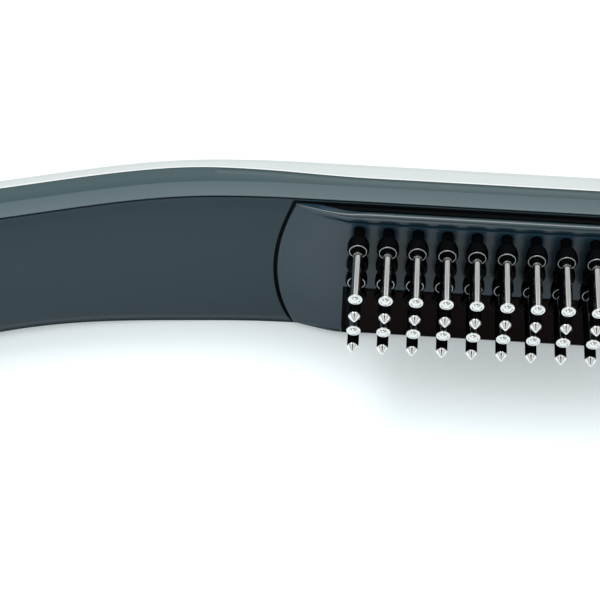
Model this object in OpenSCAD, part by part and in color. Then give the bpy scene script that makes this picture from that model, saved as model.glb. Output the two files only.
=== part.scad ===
// Arched hair comb with a lift-off head: four rows of teeth beside a laser window.
// It lies on its long side: +X runs along the straight head, teeth point to -Y,
// the back cover faces +Y and Z runs across the width.

/* [Body] */
// Width of the body across the head
body_w = 36; // [35.8:0.1:38]
// How much narrower the waist of the handle is
waist_cut = 3.8; // [0:0.2:4.4]
// Length of the straight head from where the handle's arch starts
head_len = 96; // [96:1:110]
// Length of the arched handle, measured along the seam
handle_len = 112; // [110:1:130]
// Radius of the handle's arch at the seam
arch_r = 199; // [180:1:240]
// Corner radius of the tail, seen from the back
tail_r = 14; // [13.6:0.2:15]
// Corner radius of the head's tip, seen from the back
tip_r = 10; // [8:0.5:10.5]
// Length of the neck that keeps the full width
neck_len = 15; // [10:1:20]
// Length of the tail that keeps the full width
tail_len = 16; // [16:1:24]

/* [Casing section] */
// Depth of the flat side strip behind the seam
strip_d = 3.8; // [3:0.1:4.5]
// Depth of the bevel behind the side strip
bevel_d = 4.4; // [3.5:0.1:5]
// How far the bevel leans in
bevel_in = 2; // [1.5:0.1:2.5]
// Depth of the bright trim band
trim_d = 0.45; // [0.3:0.05:0.8]
// Height of the back cover's upright edge
cover_side = 2.5; // [2.2:0.1:2.8]
// How far the trim line moves back along the handle
line_shift = 1.5; // [0:0.1:1.6]
// Radius that rounds the back cover's edge
cover_round = 2; // [1.5:0.1:2.4]
// Depth from the seam to the top of the back cover
crown_n = 16.5; // [16.2:0.1:17.5]
// Wall of the back cover and the front shell
shell_t = 1.4; // [1.2:0.1:1.5]
// Wall of the middle frame
frame_t = 1.8; // [1.6:0.1:1.9]
// How far the front panel bulges in front of the seam
panel_bulge = 1.5; // [1.2:0.1:2]
// How far the front panel's edge stands in front of the seam
panel_lip = 0.25; // [0.15:0.05:0.4]

/* [Comb head] */
// Width of the thin rim beside the head cover
rim_w = 0.7; // [0.6:0.05:1]
// Distance from the head cover to the tip of the body
tip_margin = 6.5; // [5.5:0.1:7.5]
// How far each end of the head cover bows out
head_bow = 3.5; // [2:0.5:5]
// Dark gap along the long sides of the head cover
head_gap = 0.4; // [0.3:0.05:0.6]
// Dark gap at both ends of the head cover
end_gap = 0.75; // [0.6:0.05:1]
// Height of the head cover's side above its black base
side_h = 2.4; // [1.9:0.1:2.6]
// How far the black base stands back from the side
base_in = 0.15; // [0.1:0.05:0.3]
// How far the face of the head cover stands in front of the seam
face_n = 3.6; // [3.4:0.1:4]
// Length of the ramp at each end of the head cover
ramp_l = 13; // [8:0.5:14]
// Radius of the bead along the head cover's long edges
bead_r = 0.6; // [0.4:0.05:0.65]
// Wall of the head cover
cover_wall = 1; // [0.8:0.05:1.1]

/* [Teeth] */
// Number of teeth in a row
tooth_count = 12; // [6:1:12]
// Distance between teeth in a row
tooth_pitch = 5.6; // [5:0.1:5.7]
// Distance between rows
row_pitch = 4.36; // [4.3:0.02:4.5]
// Distance from the outermost row to the head cover's edge
row_edge = 3.2; // [3:0.05:3.6]
// Length of a tooth from the face to the shoulder of its tip
tooth_len = 17.8; // [14:0.2:22]
// Radius of the metal rods
rod_r = 0.87; // [0.7:0.01:0.95]
// Radius of the black pins
pin_r = 1.1; // [0.9:0.05:1.25]
// Radius of the round tips
button_r = 1.35; // [1.1:0.05:1.5]
// Height of the cone on a pin's tip
cone_h = 1.6; // [1:0.05:2.5]
// Height of the low dome on a round tip
dome_h = 0.55; // [0.45:0.05:1]
// Outer radius of the bell collars
bell_r = 2.1; // [1.8:0.05:2.1]
// Distance from the face to the mouth of a bell collar
bell_mouth = 5.4; // [4.6:0.1:6]
// Length of the sleeve that leads a tooth out of its bell
sleeve_l = 0.5; // [0.4:0.1:1.4]
// Length of the plain stub under a bell collar
stub_l = 2.1; // [1.4:0.1:2.2]
// Radial clearance round teeth, screws and wires
fit_gap = 0.05; // [0.03:0.01:0.08]

/* [Laser window] */
// Distance from each end of the head cover to the laser window
window_end = 14; // [12:0.5:16]
// Distance from the innermost row to the laser window
row_to_window = 3.92; // [3.8:0.02:4.2]
// Distance from the laser window to the head cover's long edge
window_edge = 1.4; // [1.3:0.05:1.7]
// Thickness of the window pane
window_t = 1; // [0.8:0.1:1.1]
// Number of laser diodes
laser_count = 5; // [3:1:7]
// Distance between laser diodes
laser_pitch = 12; // [9:0.5:12]
// Radius of a laser diode's base
laser_r = 2.8; // [2:0.1:3]

/* [Electronics] */
// Thickness of the circuit boards
board_t = 1; // [0.8:0.1:1.4]
// Free depth between the head board and the floor of its tray
head_room = 1.2; // [1.1:0.1:1.5]
// Length of the main board
main_board_l = 34; // [32:1:36]
// Width of the main board
main_board_w = 22; // [20:1:24]
// Length of the control chip
chip_l = 7; // [5:0.5:8]
// Width of the control chip
chip_w = 5; // [3:0.5:6]
// Thickness of the control chip
chip_t = 1.2; // [0.8:0.1:1.6]
// Length of the driver chip
driver_l = 5; // [3:0.5:6]
// Width of the driver chip
driver_w = 4; // [2:0.5:4.5]
// Side of the coil beside the driver chip
coil_a = 3; // [2:0.5:3.5]
// Side of the square push switches
switch_a = 6; // [5:0.5:7]
// Radius of a vibration motor
motor_r = 3; // [2.5:0.1:3]
// Length of the vibration motor
motor_l = 14; // [10:1:18]
// Radius of the motor shaft
shaft_r = 0.5; // [0.4:0.05:0.7]

/* [Buttons] */
// Radius of the two buttons
key_r = 4.6; // [4:0.1:5]
// Distance between the middles of the two buttons
key_pitch = 17; // [15:0.5:18]
// Travel of the buttons
key_travel = 0.6; // [0.3:0.1:0.6]
// Clearance round the buttons
key_gap = 0.25; // [0.15:0.05:0.35]
// How far the buttons stand proud of the back cover
key_proud = 0.7; // [0.4:0.1:1.2]

/* [Battery bay] */
// Radius of an AAA cell
cell_r = 5.25; // [5:0.05:5.25]
// Length of an AAA cell
cell_l = 44.5; // [43:0.5:44.5]
// Length left for the spring and plates beside a cell
contact_room = 3.6; // [3.2:0.1:4]
// Gap between the two cells
cell_gap = 0.5; // [0.3:0.1:0.6]
// Height of the battery contact plates
plate_h = 8; // [6:0.5:9]
// Wall of the battery tray
tray_t = 0.6; // [0.5:0.05:0.7]
// Clearance round the battery cover
hatch_gap = 0.25; // [0.15:0.05:0.4]

/* [Hidden] */
$fn = 48;

// Casing values
half_w = body_w / 2;
frame_n = strip_d + bevel_d;
cover_n = frame_n + trim_d;
off_mid = 13;
off_edge = bevel_in + cover_round * (1 - cos(80));
edge_n = cover_n + cover_side + cover_round * sin(80);

// Head values
head_h = body_w - 2 * (rim_w + head_gap);
head_cover_l = head_len - tip_margin + head_bow;
head_mid = head_cover_l / 2 - head_bow;
row_top = head_h / 2 - row_edge;
window_l = head_cover_l - 2 * window_end;
bow_r = (pow(head_h / 2, 2) + pow(head_bow, 2)) / (2 * head_bow);
flush_n = panel_bulge;
skin_n = 0.3;
plate_n = -face_n + cover_wall + 0.2;
board_top = -skin_n;
board_low = board_top + board_t;
tray_wall = 0.7;
tray_in_h = head_h - 4.6;
base_w = 2.2;
head_board_l = head_cover_l - 15;
head_board_w = tray_in_h - 3.2;
tray_floor_n = board_low + head_room;
tray_floor_t = 1.4;
under_n = tray_floor_n + tray_floor_t;
first_tooth = head_mid - tooth_pitch * (tooth_count - 1) / 2;
window_h = head_h - row_edge - 3 * row_pitch - row_to_window - window_edge;
window_mid = -head_h / 2 + window_edge + window_h / 2;
window_ledge = 0.8;
screw_r = 1;
screw_x = head_mid - head_cover_l / 2 + 5.5;
screw_w = 9;
boss_r = 2.4;

// Handle values
board_s = 22;
board_n = 7;
post_x = main_board_l / 2 - 2.4;
post_w = main_board_w / 2 - 2.4;
key_s = [board_s - key_pitch / 2, board_s + key_pitch / 2];
key_flange = 0.8;
key_bottom_n = crown_n - shell_t - 1.1 - key_flange;
switch_top_n = key_bottom_n - key_travel - 0.3;
cell_s = 71;
cell_n = tray_t + 0.1 + cell_r;
cell_w = cell_r + cell_gap / 2;
plate_t = 0.3;
bay_l = cell_l + contact_room;
hatch_l = bay_l + 3;
hatch_w = 2 * (cell_w + cell_r) + 1;
motor_x = head_mid - 13;
motor_n = under_n + motor_r + 0.7;
deg = 180 / PI;

// The origin lies under the middle of the bounding box
tail_deg = handle_len / arch_r * deg;
ledge_d = 1;
pad_n = cell_n + cell_r + 0.3;
key_deg = key_s[0] / arch_r * deg;
rim_round = cover_round * (1 - cos(40));
rim_n = cover_n + cover_side + cover_round * sin(40);
x_lo = -(arch_r + rim_n) * sin((handle_len - bevel_in - rim_round) / arch_r * deg);
lip_in = 0.4;
y_lo = (arch_r + panel_at(lip_in)) * cos((handle_len - lip_in) / arch_r * deg) - arch_r;
y_hi = (arch_r + crown_n + key_proud) * cos(key_deg) - arch_r + (key_r - 0.8) * sin(key_deg);
mid_x = (head_len + x_lo) / 2;
mid_y = (y_hi + y_lo) / 2;

module at_origin() {
    translate([-mid_x, -mid_y, half_w]) children();
}

// Moves a piece drawn at the head's joint to the arc length s along the handle
module on_arch(s) {
    translate([0, -arch_r, 0]) rotate([0, 0, s / arch_r * deg]) translate([0, arch_r, 0]) children();
}

// A solid that stands on plane y = n, drawn in X and Z and grown towards +Y by d
module slab(n, d) {
    translate([0, n + d, 0]) rotate([90, 0, 0]) linear_extrude(d) children();
}

// A round bar along Y from depth n1 to n2
module bar_y(x, w, n1, n2, r) {
    translate([x, n1, w]) rotate([-90, 0, 0]) cylinder(r = r, h = n2 - n1);
}

// A turned piece whose profile is given as radius and distance, pointing to -Y from depth n
module turned(x, w, n) {
    translate([x, n, w]) rotate([90, 0, 0]) rotate_extrude() children();
}

// Half the width of the body at arc length or straight length u
function waist_at(u) =
    u >= -neck_len || u <= tail_len - handle_len ? 0
    : waist_cut / 4 * (1 - cos(360 * (-neck_len - u) / (handle_len - neck_len - tail_len)));

// One side of the outline, from tail to tip, set in by off
tail_steps = 7;
side_u = concat(
    [for (k = [0 : 9]) tail_len - handle_len + k * (handle_len - neck_len - tail_len) / 9],
    [-neck_len / 2, 0, neck_len / 2, neck_len, head_len * 0.5]
);
function corner(x, r, dir, off) =
    let (c = max(r, off + 0.2))
    [for (k = [0 : tail_steps])
        let (a = 90 * k / tail_steps)
        [x + dir * (c - (c - off) * sin(a)), half_w - c + (c - off) * cos(a)]];
function side(off) = concat(
    [for (k = [tail_steps : -1 : 0]) corner(-handle_len, tail_r, 1, off)[k]],
    [for (u = side_u) [u, half_w - waist_at(u) - off]],
    corner(head_len, tip_r, -1, off)
);
side_count = 2 * (tail_steps + 1) + len(side_u);
ring_count = 2 * side_count;

// Bends a point at length u and depth n round the arch
function bent(u, n, w) =
    u >= 0 ? [u, n, w]
    : let (a = -u / arch_r * deg) [-(arch_r + n) * sin(a), (arch_r + n) * cos(a) - arch_r, w];

// How far the trim line has moved back at length u
function shift_at(u) =
    let (t = min(1, max(0, (neck_len - u) / (2.6 * neck_len)))) line_shift * t * t * (3 - 2 * t);

// A closed ring of points at inset off and depth n; share tells how much it follows the trim line
function ring(off, n, share) =
    let (s = side(off))
    concat(
        [for (p = s) bent(p[0], n + share * shift_at(p[0]), p[1])],
        [for (k = [side_count - 1 : -1 : 0]) bent(s[k][0], n + share * shift_at(s[k][0]), -s[k][1])]
    );
function ring_points(rings) = [for (q = rings) each ring(q[0], q[1], len(q) > 2 ? q[2] : 0)];
function wall_faces(i, k) = [
    for (j = [0 : ring_count - 1])
        let (e = (j + 1) % ring_count)
        each [
            [i * ring_count + j, k * ring_count + e, i * ring_count + e],
            [i * ring_count + j, k * ring_count + j, k * ring_count + e]
        ]
];
function cap_faces(i, up) = [
    for (j = [0 : side_count - 2])
        let (
            a = i * ring_count + j,
            b = a + 1,
            c = i * ring_count + ring_count - 2 - j,
            d = c + 1
        )
        each (up ? [[a, b, c], [a, c, d]] : [[a, c, b], [a, d, c]])
];

// A dished shell: rings run from the outer middle over the rim to the inner middle
module dish(rings, up) {
    last = len(rings) - 1;
    walls = [for (i = [0 : last - 1]) each (up ? wall_faces(i + 1, i) : wall_faces(i, i + 1))];
    polyhedron(ring_points(rings), concat(walls, cap_faces(0, !up), cap_faces(last, up)));
}

// A closed band that follows the outline
module band(rings) {
    last = len(rings) - 1;
    walls = [for (i = [0 : last]) each wall_faces((i + 1) % (last + 1), i)];
    polyhedron(ring_points(rings), walls);
}

// Depth of the crowned back at inset off
function crown_at(off) = crown_n - (crown_n - edge_n) * pow((off_mid - off) / (off_mid - off_edge), 2);
back_rings = [
    [off_mid, crown_n],
    [9, crown_at(9)],
    [5.5, crown_at(5.5)],
    [off_edge, edge_n],
    [bevel_in + rim_round, rim_n],
    [bevel_in, cover_n + cover_side],
    [bevel_in, cover_n, 1],
    [bevel_in + shell_t, cover_n, 1],
    [bevel_in + shell_t, cover_n + cover_side],
    [off_edge + shell_t, edge_n - shell_t],
    [7, crown_at(5.5) - shell_t],
    [off_mid, crown_n - shell_t]
];
boss_top = crown_at(half_w - screw_w - boss_r) - 0.35;
// Layer under the back cover whose top lies lift above the cover's inner face
function seat_rings(lift) = let (top = lift - shell_t, base = -shell_t - hatch_gap - ledge_d) [
    [off_mid, crown_n + top],
    [7, crown_at(5.5) + top],
    [off_edge + shell_t, edge_n + top],
    [off_edge + shell_t, edge_n + base],
    [7, crown_at(5.5) + base],
    [off_mid, crown_n + base]
];
// Depth of the front panel at inset off: almost flush at the seam, fullest in the middle
function panel_at(off) = -panel_lip - (panel_bulge - panel_lip) * (1 - pow(1 - off / off_mid, 2.2));
front_rings = [
    [off_mid, panel_at(off_mid)],
    [9, panel_at(9)],
    [5.5, panel_at(5.5)],
    [2.5, panel_at(2.5)],
    [lip_in, panel_at(lip_in)],
    [0.15, -panel_lip / 2],
    [0.15, 0],
    [frame_t, 0],
    [off_mid, 0]
];
frame_rings = [
    [0, 0],
    [0, strip_d],
    [bevel_in, frame_n, 1],
    [bevel_in + shell_t, frame_n, 1],
    [frame_t, strip_d + 0.6],
    [frame_t, 0]
];
trim_rings = [
    [bevel_in - 0.1, frame_n, 1],
    [bevel_in - 0.1, cover_n, 1],
    [bevel_in + shell_t, cover_n, 1],
    [bevel_in + shell_t, frame_n, 1]
];

// The head cover's outline, grown by g
module head_outline(g) {
    inner_r = bow_r + g;
    l = head_cover_l + 2 * g;
    centre_x = bow_r - head_bow;
    intersection() {
        translate([-head_bow - g, -head_h / 2 - g]) square([l, head_h + 2 * g]);
        union() {
            translate([centre_x, 0]) circle(inner_r, $fn = 96);
            translate([centre_x, -body_w]) square([l, 2 * body_w]);
        }
        union() {
            translate([2 * head_mid - centre_x, 0]) circle(inner_r, $fn = 96);
            translate([2 * head_mid - centre_x - l, -body_w]) square([l, 2 * body_w]);
        }
    }
}

// The recess that holds the head: wider at its ends than along its sides
module recess_outline(g) {
    for (k = [-1, 1]) translate([k * (end_gap - head_gap), 0]) head_outline(g);
}

module hatch_plan(gap) {
    l = hatch_l - 2 * gap;
    w = hatch_w - 2 * gap;
    on_arch(cell_s) slab(cell_n + 3, crown_n) square([l, w], center = true);
}

module back_cover() {
    color("gainsboro") at_origin() {
        difference() {
            union() {
                dish(back_rings, true);
                for (x = [screw_x, 2 * head_mid - screw_x], w = [-screw_w, screw_w])
                    bar_y(x, w, under_n, boss_top, boss_r);
            }
            hatch_plan(0);
            for (s = key_s)
                on_arch(s) bar_y(0, 0, cover_n, crown_n + 1, key_r + key_gap);
            on_arch(board_s) bar_y(0, 0, cover_n, crown_n + 1, 1.2 + fit_gap);
            for (x = [screw_x, 2 * head_mid - screw_x], w = [-screw_w, screw_w])
                bar_y(x, w, under_n - 1, under_n + 4.4, screw_r);
        }
        intersection() {
            dish(seat_rings(-hatch_gap), true);
            on_arch(cell_s) for (k = [-1, 1])
                slab(cell_n + 3, crown_n) translate([k * hatch_l / 2, 0])
                    square([2.4, hatch_w - 3], center = true);
        }
        intersection() {
            dish(seat_rings(0.4), true);
            on_arch(cell_s) for (k = [-1, 1])
                slab(cell_n + 3, crown_n) translate([k * (hatch_l / 2 + 0.8), 0])
                    square([0.8, hatch_w - 3], center = true);
        }
    }
}

module battery_cover() {
    color("gainsboro") at_origin() intersection() {
        dish(back_rings, true);
        hatch_plan(hatch_gap);
    }
}

module trim_band() {
    color("white") at_origin() band(trim_rings);
}

module middle_frame() {
    color("slategray") at_origin() band(frame_rings);
}

module front_shell() {
    color("darkslategray") at_origin() {
        difference() {
            dish(front_rings, false);
            slab(-panel_bulge - 1, panel_bulge + 3) recess_outline(head_gap);
        }
        on_arch(board_s) for (x = [-post_x, post_x], w = [-post_w, post_w]) difference() {
            bar_y(x, w, -0.8, board_n, 1.7);
            bar_y(x, w, 1.5, board_n + 1, 0.8);
        }
    }
}

// Black tray behind the lift-off head: its flange is what shows in the gap
module head_tray() {
    in_g = (tray_in_h - head_h) / 2;
    color([0.03, 0.03, 0.03]) at_origin() difference() {
        union() {
            slab(-skin_n, skin_n) recess_outline(head_gap - fit_gap);
            slab(-skin_n, under_n + skin_n) head_outline(in_g + tray_wall);
        }
        slab(-skin_n - 1, tray_floor_n + skin_n + 1) head_outline(in_g);
        for (x = [screw_x, 2 * head_mid - screw_x], w = [-screw_w, screw_w])
            bar_y(x, w, tray_floor_n - 1, under_n + 1, screw_r + fit_gap);
        for (k = [0 : 3])
            bar_y(contact_x(k), contact_w, tray_floor_n - 1, under_n + 1, 0.6 + fit_gap);
    }
}

module case_screws() {
    color("silver") at_origin()
    for (x = [screw_x, 2 * head_mid - screw_x], w = [-screw_w, screw_w]) {
        bar_y(x, w, tray_floor_n - 0.9, tray_floor_n, 1.9);
        bar_y(x, w, tray_floor_n, under_n + 4, screw_r - fit_gap);
    }
}

module battery_tray() {
    l = bay_l + 2 * tray_t;
    w = 2 * (cell_w + cell_r + tray_t);
    depth = cell_r + tray_t;
    foot = (pow(l / 2, 2)) / (2 * arch_r);
    color([0.1, 0.1, 0.1]) at_origin() on_arch(cell_s) {
        difference() {
            slab(cell_n - depth, depth) square([l, w], center = true);
            slab(cell_n - cell_r, cell_r + 1) square([bay_l, w - 2 * tray_t], center = true);
        }
        for (k = [-1, 1])
            slab(cell_n - depth - foot, foot + tray_t)
                translate([k * (l - 2 * tray_t) / 2, 0]) square([2 * tray_t, w - 2], center = true);
    }
}

// The cells lie head to tail: each nub meets a plate, each flat end meets a spring
module battery_cells() {
    body_l = cell_l - 1;
    nub_end = bay_l / 2 - plate_t;
    color("goldenrod") at_origin() on_arch(cell_s)
    for (k = [-1, 1]) translate([0, cell_n, k * cell_w]) rotate([0, 90 * k, 0]) {
        translate([0, 0, nub_end - cell_l]) cylinder(r = cell_r, h = body_l);
        translate([0, 0, nub_end - 1]) cylinder(r = 1.9, h = 1);
    }
}

module battery_springs() {
    coil_r = 3;
    wire_r = 0.35;
    room = contact_room - 2 * plate_t;
    step = (room - 2 * wire_r) / 5;
    color("silver") at_origin() on_arch(cell_s)
    for (k = [-1, 1]) translate([0, cell_n, k * cell_w]) rotate([0, -90 * k, 0])
        for (t = [0 : 5])
            translate([0, 0, bay_l / 2 - plate_t - wire_r - t * step])
                rotate_extrude() translate([coil_r, 0]) circle(wire_r, $fn = 16);
}

module battery_plates() {
    color("silver") at_origin() on_arch(cell_s)
    for (k = [-1, 1])
        translate([k * (bay_l - plate_t) / 2, cell_n - 0.9, 0])
            cube([plate_t, plate_h, 2 * cell_w + plate_h - 1], center = true);
}

module cell_pad() {
    color("dimgray") at_origin() on_arch(cell_s)
        slab(pad_n, crown_n - shell_t - 0.25 - pad_n) square([cell_l * 0.4, cell_w * 0.7], center = true);
}

module main_board() {
    color("darkgreen") at_origin() on_arch(board_s)
        slab(board_n, board_t) difference() {
            square([main_board_l, main_board_w], center = true);
            for (x = [-1, 1], w = [-1, 1])
                translate([x * post_x, w * post_w]) circle(0.8 + fit_gap);
        }
}

module board_screws() {
    top = board_n + board_t;
    color("silver") at_origin() on_arch(board_s)
    for (x = [-post_x, post_x], w = [-post_w, post_w]) {
        bar_y(x, w, 2, top, 0.8 - fit_gap);
        bar_y(x, w, top, top + 0.8, 1.5);
    }
}

module board_chips() {
    top = board_n + board_t;
    color([0.08, 0.08, 0.08]) at_origin() on_arch(board_s) {
        slab(top, chip_t) translate([-chip_l / 2, post_w - chip_w]) square([chip_l, chip_w]);
        slab(top, chip_t) translate([-driver_l / 2, -post_w]) square([driver_l, driver_w]);
        slab(top, chip_t + coil_a / 4) translate([driver_l / 2 + 1, -post_w]) square(coil_a);
    }
}

module switch_housings() {
    top = board_n + board_t;
    color([0.2, 0.2, 0.2]) at_origin() difference() {
        for (s = key_s)
            on_arch(s) slab(board_n, switch_top_n - board_n - 0.4) square(switch_a, center = true);
        for (s = key_s) on_arch(s) bar_y(0, 0, top + 0.8, switch_top_n + 1, 1.8);
        on_arch(board_s) slab(board_n - 2, 2 + board_t) square(2 * main_board_l, center = true);
    }
}

module key_cap(s) {
    at_origin() on_arch(s) {
        bar_y(0, 0, key_bottom_n, key_bottom_n + key_flange, key_r + 0.9);
        bar_y(0, 0, key_bottom_n, crown_n + key_proud - 0.5, key_r);
        translate([0, crown_n + key_proud - 0.5, 0]) rotate([-90, 0, 0])
            cylinder(r1 = key_r, r2 = key_r - 0.8, h = 0.5);
    }
}

module key_plunger(s) {
    at_origin() on_arch(s) bar_y(0, 0, switch_top_n - 2.2, key_bottom_n, 1.6);
}

module power_button() {
    color("silver") key_cap(key_s[1]);
}

module power_plunger() {
    color("black") key_plunger(key_s[1]);
}

module mode_button() {
    color("silver") key_cap(key_s[0]);
}

module mode_plunger() {
    color("black") key_plunger(key_s[0]);
}

module status_light_pipe() {
    color([0.9, 0.95, 1, 0.6]) at_origin() on_arch(board_s)
        bar_y(0, 0, board_n + board_t + 1.2, crown_n + 0.1, 1.2);
}

module status_led() {
    color("white") at_origin() on_arch(board_s)
        slab(board_n + board_t, 1.2) square([2, 1.4], center = true);
}

module motor_can() {
    color("silver") at_origin() translate([motor_x, motor_n, 0]) rotate([0, 90, 0]) difference() {
        cylinder(r = motor_r, h = motor_l);
        translate([0, 0, motor_l - 6]) cylinder(r = shaft_r + fit_gap, h = 7);
    }
}

module motor_cradle() {
    color([0.12, 0.12, 0.12]) at_origin() difference() {
        slab(under_n, motor_n - under_n)
            translate([motor_x + 2, -motor_r - 1.2]) square([motor_l - 4, 2 * motor_r + 2.4]);
        translate([motor_x, motor_n, 0]) rotate([0, 90, 0]) cylinder(r = motor_r + fit_gap, h = motor_l);
    }
}

module motor_shaft() {
    color("silver") at_origin() translate([motor_x + motor_l - 5.6, motor_n, 0])
        rotate([0, 90, 0]) cylinder(r = shaft_r, h = 11);
}

module eccentric_weight() {
    color("goldenrod") at_origin() translate([motor_x + motor_l + 0.8, motor_n, 0])
        rotate([0, 90, 0]) linear_extrude(4.2) difference() {
            union() {
                intersection() {
                    circle(motor_r - 0.1);
                    translate([-motor_r, 0]) square([2 * motor_r, motor_r]);
                }
                circle(shaft_r + 0.6);
            }
            circle(shaft_r);
        }
}

function contact_x(k) = head_mid - 7.5 + 5 * k;
contact_w = -head_board_w / 2 + 1.8;

module contact_pins() {
    color("gold") at_origin()
    for (k = [0 : 3])
        bar_y(contact_x(k), contact_w, board_low, under_n, 0.6);
}

module contact_block() {
    color([0.1, 0.1, 0.1]) at_origin()
        slab(under_n, 2) translate([head_mid, contact_w]) square([20, 3], center = true);
}

magnet_x = head_board_l / 2 - 7;
module magnets(n, d) {
    color("silver") at_origin()
    for (x = [-magnet_x, magnet_x]) bar_y(head_mid + x, -6.5, n, n + d, 2.6);
}

module body_magnets() {
    magnets(under_n, 1.2);
}

module head_magnets() {
    magnets(board_low, 0.9);
}

// Leads run from the main board to the motor and to the battery tray
module lead_wires() {
    wire_r = 0.5;
    wire_n = board_n - wire_r + 0.38;
    color("crimson") at_origin() {
        for (w = [-2, 2])
            translate([-8, board_n + board_t + wire_r + 0.62, w]) rotate([0, 90, 0])
                cylinder(r = wire_r, h = motor_x + 8);
        for (w = [-2, 2])
            translate([0, -arch_r, w]) rotate([0, 0, 90 + 34 / arch_r * deg])
                rotate_extrude(angle = (cell_s - bay_l / 2 - tray_t - 34) / (arch_r + wire_n) * deg)
                    translate([arch_r + wire_n, 0]) circle(wire_r, $fn = 16);
    }
}

// The head cover seen from above, lowered by d: ramps at both ends and a flat face between
module cover_profile(d) {
    x1 = -head_bow;
    x2 = head_cover_l - head_bow;
    translate([0, 0, -half_w]) linear_extrude(body_w) polygon([
        [x1 - 1, 1],
        [x1 - 1, d - flush_n],
        [x1, d - flush_n],
        [x1 + ramp_l, d - face_n],
        [x2 - ramp_l, d - face_n],
        [x2, d - flush_n],
        [x2 + 1, d - flush_n],
        [x2 + 1, 1]
    ]);
}

// A shell with a bead on each long edge, holes for the teeth and a seat for the window
module head_cover() {
    bead_l = head_cover_l - 2 * ramp_l;
    color([0.2, 0.24, 0.27]) at_origin() difference() {
        union() {
            difference() {
                intersection() {
                    cover_profile(0);
                    slab(-face_n - 1, face_n + 1 - skin_n) head_outline(0);
                }
                intersection() {
                    cover_profile(cover_wall + 0.2);
                    slab(-face_n - 1, face_n + 2) head_outline(-cover_wall);
                }
            }
            for (w = [-1, 1])
                translate([-head_bow + ramp_l, bead_r - face_n - 0.3, w * (head_h / 2 - bead_r)])
                    rotate([0, 90, 0]) cylinder(r = bead_r, h = bead_l);
            slab(plate_n - 0.1, 1) window_plan(0.9);
        }
        intersection() {
            cover_profile(side_h);
            slab(-face_n - 1, face_n + 2) head_outline(1);
        }
        for (k = [0 : tooth_count - 1], r = [0 : 3])
            bar_y(tooth_x(k), row_w(r), -face_n - 1, 0, pin_r + 2 * fit_gap);
        slab(-face_n - 1, 1.2 + window_t) window_plan(0.1);
        slab(-face_n - 1, face_n + 1) window_plan(-window_ledge);
    }
}

module window_plan(g) {
    l = window_l + 2 * g;
    h = window_h + 2 * g;
    translate([head_mid, window_mid]) square([l, h], center = true);
}

module laser_window() {
    color([0.05, 0.02, 0.02, 0.9]) at_origin() slab(-face_n + 0.2, window_t) window_plan(0);
}

function tooth_x(k) = first_tooth + k * tooth_pitch;
function row_w(r) = row_top - r * row_pitch;
foot_n = board_top - 0.4;

// Black base of the head: the block that holds the teeth, a bar under each long side and two ribs
module tooth_block() {
    rib_x = head_board_l / 2 - 2;
    color([0.05, 0.05, 0.05]) at_origin() difference() {
        union() {
            slab(plate_n, board_top - plate_n)
                translate([first_tooth - 2, row_w(3) - 2])
                    square([tooth_pitch * (tooth_count - 1) + 4, row_top - row_w(3) + 3.3]);
            intersection() {
                cover_profile(side_h);
                slab(-face_n, face_n - skin_n) difference() {
                    head_outline(-base_in);
                    head_outline(-base_w);
                }
            }
            slab(board_top - 1, 1)
                for (k = [-1, 1]) translate([head_mid + k * rib_x, 0])
                    square([4, head_h - 2 * base_w + 1], center = true);
        }
        for (k = [0 : tooth_count - 1], r = [0 : 3])
            bar_y(tooth_x(k), row_w(r), plate_n - 1, foot_n, pin_r + fit_gap);
    }
}

module head_board() {
    color("darkgreen") at_origin() slab(board_top, board_t)
        translate([head_mid, 0]) square([head_board_l, head_board_w], center = true);
}

module laser_diodes() {
    color("goldenrod") at_origin()
    for (k = [0 : laser_count - 1])
        bar_y(laser_x(k), window_mid, board_top - 0.7, board_top, laser_r);
}

module laser_lenses() {
    color([0.8, 0.1, 0.1, 0.7]) at_origin()
    for (k = [0 : laser_count - 1])
        bar_y(laser_x(k), window_mid, board_top - 1.3, board_top - 0.7, laser_r - 0.5);
}

function laser_x(k) = head_mid + (k - (laser_count - 1) / 2) * laser_pitch;

// Flank of a stub that flares into a bell, up to the face of its mouth
tooth_foot = face_n + foot_n;
bell_flank = [
    [pin_r, -tooth_foot],
    [pin_r, stub_l],
    [pin_r + (bell_r - pin_r) * 0.5, stub_l + 0.5],
    [pin_r + (bell_r - pin_r) * 0.88, stub_l + 1.3],
    [bell_r, bell_mouth - 1.1],
    [bell_r, bell_mouth - 0.25],
    [bell_r - 0.2, bell_mouth]
];

module collar_profile() {
    bore = rod_r + fit_gap;
    polygon(concat([[bore, -tooth_foot]], bell_flank, [
        [bore + 0.46, bell_mouth],
        [bore + 0.15, bell_mouth + sleeve_l],
        [bore, bell_mouth + sleeve_l]
    ]));
}

module collars(r) {
    color([0.03, 0.03, 0.03]) at_origin()
    for (k = [0 : tooth_count - 1]) turned(tooth_x(k), row_w(r), -face_n) collar_profile();
}

module collars_row_1() {
    collars(0);
}

module collars_row_3() {
    collars(2);
}

module collar_rings(r) {
    color("silver") at_origin()
    for (k = [0 : tooth_count - 1])
        turned(tooth_x(k), row_w(r), -face_n - bell_mouth) translate([bell_r - 0.65, 0]) square([0.27, 0.2]);
}

module collar_rings_row_1() {
    collar_rings(0);
}

module collar_rings_row_3() {
    collar_rings(2);
}

module rods(r) {
    color("silver") at_origin()
    for (k = [0 : tooth_count - 1])
        turned(tooth_x(k), row_w(r), -face_n) polygon([
            [0, -tooth_foot],
            [rod_r, -tooth_foot],
            [rod_r, tooth_len - 0.5],
            [button_r, tooth_len - 0.4],
            [button_r, tooth_len],
            [button_r * 0.85, tooth_len + 0.12],
            [button_r * 0.76, tooth_len + 0.12],
            [button_r * 0.66, tooth_len + dome_h * 0.75],
            [button_r * 0.3, tooth_len + dome_h],
            [0, tooth_len + dome_h]
        ]);
}

module rods_row_1() {
    rods(0);
}

module rods_row_3() {
    rods(2);
}

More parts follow.
